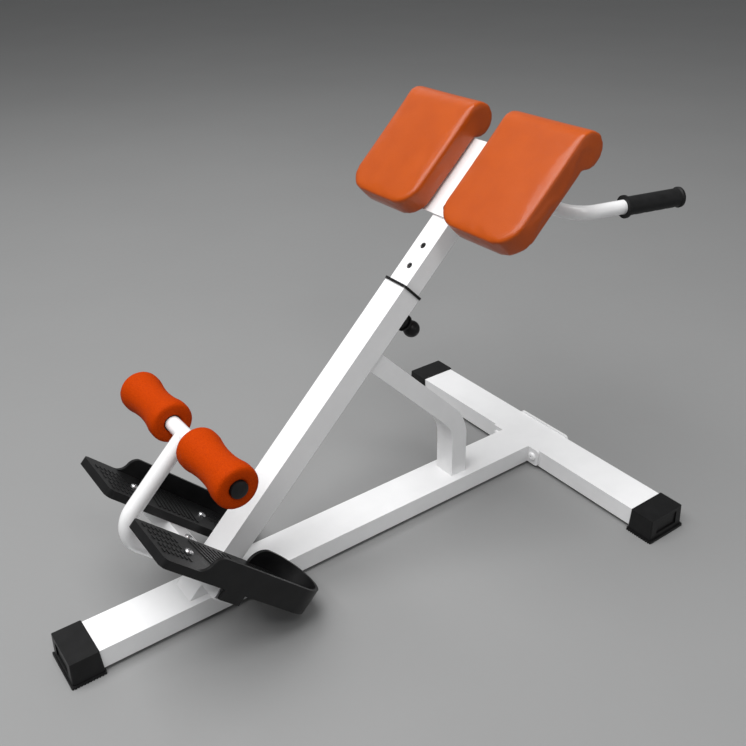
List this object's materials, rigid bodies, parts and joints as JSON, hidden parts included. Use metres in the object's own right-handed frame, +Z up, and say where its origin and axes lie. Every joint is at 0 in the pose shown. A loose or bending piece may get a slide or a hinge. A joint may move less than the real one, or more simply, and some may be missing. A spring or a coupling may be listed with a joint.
{
  "type": "roman chair",
  "caption": "45-degree back extension bench: split hip pads and handles on a sliding post, foot plates, spinning foam ankle rollers and a T-shaped base.",
  "frame": {"origin": "centre of the footprint on the floor, at the bottom of the bounding box", "axes": "+X from the foot end towards the hip pads along the base beam, +Y to the user's left across the stabiliser, +Z up"},
  "size_m": [1.1584, 0.742, 0.7665],
  "materials": {
    "white_paint": "gloss powder coat",
    "black_plastic": "satin moulded",
    "zinc_hardware": "bright plated",
    "pad_cover": "fine grain cover",
    "roller_foam": "closed-cell foam",
    "grip_rubber": "matte",
    "board_ply": "black stained"
  },
  "bodies": {
    "base_frame": {"base_beam": "white_paint", "beam_flange_plate": "white_paint", "rear_stabiliser": "white_paint", "stabiliser_back_plate": "white_paint", "flange_bolt_left": "white_paint", "flange_bolt_right": "white_paint", "flange_nut_left": "zinc_hardware", "flange_nut_right": "zinc_hardware", "front_foot_cap": "black_plastic", "stabiliser_cap_left": "black_plastic", "stabiliser_cap_right": "black_plastic", "post_outer_tube": "white_paint", "post_collar": "black_plastic", "post_brace": "white_paint", "roller_arm": "white_paint", "roller_axle": "white_paint", "footplate_crossbar": "white_paint", "crossbar_bolt": "zinc_hardware", "crossbar_nut": "zinc_hardware", "axle_cap_left": "black_plastic", "axle_cap_right": "black_plastic", "pin_housing": "black_plastic", "foot_plate_left": "black_plastic", "plate_strap_left": "white_paint", "plate_screw_heel_left": "zinc_hardware", "plate_screw_toe_left": "zinc_hardware", "plate_nut_heel_left": "black_plastic", "plate_nut_toe_left": "black_plastic", "foot_plate_right": "black_plastic", "plate_strap_right": "white_paint", "plate_screw_heel_right": "zinc_hardware", "plate_screw_toe_right": "zinc_hardware", "plate_nut_heel_right": "black_plastic", "plate_nut_toe_right": "black_plastic"},
    "pad_carriage": {"inner_post": "white_paint", "inner_post_plug": "black_plastic", "pad_plate": "white_paint", "saddle_bolt": "zinc_hardware", "saddle_nut": "zinc_hardware", "handlebar": "white_paint", "handle_bracket": "white_paint", "pad_board_left": "board_ply", "board_screw_left_1": "zinc_hardware", "board_screw_left_2": "zinc_hardware", "hip_pad_left": "pad_cover", "grip_left": "grip_rubber", "pad_board_right": "board_ply", "board_screw_right_1": "zinc_hardware", "board_screw_right_2": "zinc_hardware", "hip_pad_right": "pad_cover", "grip_right": "grip_rubber"},
    "pull_pin_set": {"pull_pin": "zinc_hardware", "pin_knob": "black_plastic"},
    "roller_left": {"foam_roller_left": "roller_foam", "roller_sleeve_left": "black_plastic"},
    "roller_right": {"foam_roller_right": "roller_foam", "roller_sleeve_right": "black_plastic"}
  },
  "joints": [
    {"name": "height_slide", "type": "slide", "parent": "base_frame", "child": "pad_carriage", "axis": [0.7153, 0, 0.6988], "range_m": [-0.084, 0.084]},
    {"name": "pin_pull", "type": "slide", "parent": "base_frame", "child": "pull_pin_set", "axis": [0.6988, 0, -0.7153], "range_m": [0, 0.01], "stiffness_N_per_m": 800},
    {"name": "roller_spin_left", "type": "hinge", "parent": "base_frame", "child": "roller_left", "pos_m": [-0.31393, 0.11, 0.35351], "axis": [0, 1, 0], "continuous": true},
    {"name": "roller_spin_right", "type": "hinge", "parent": "base_frame", "child": "roller_right", "pos_m": [-0.31393, -0.11, 0.35351], "axis": [0, 1, 0], "continuous": true}
  ]
}
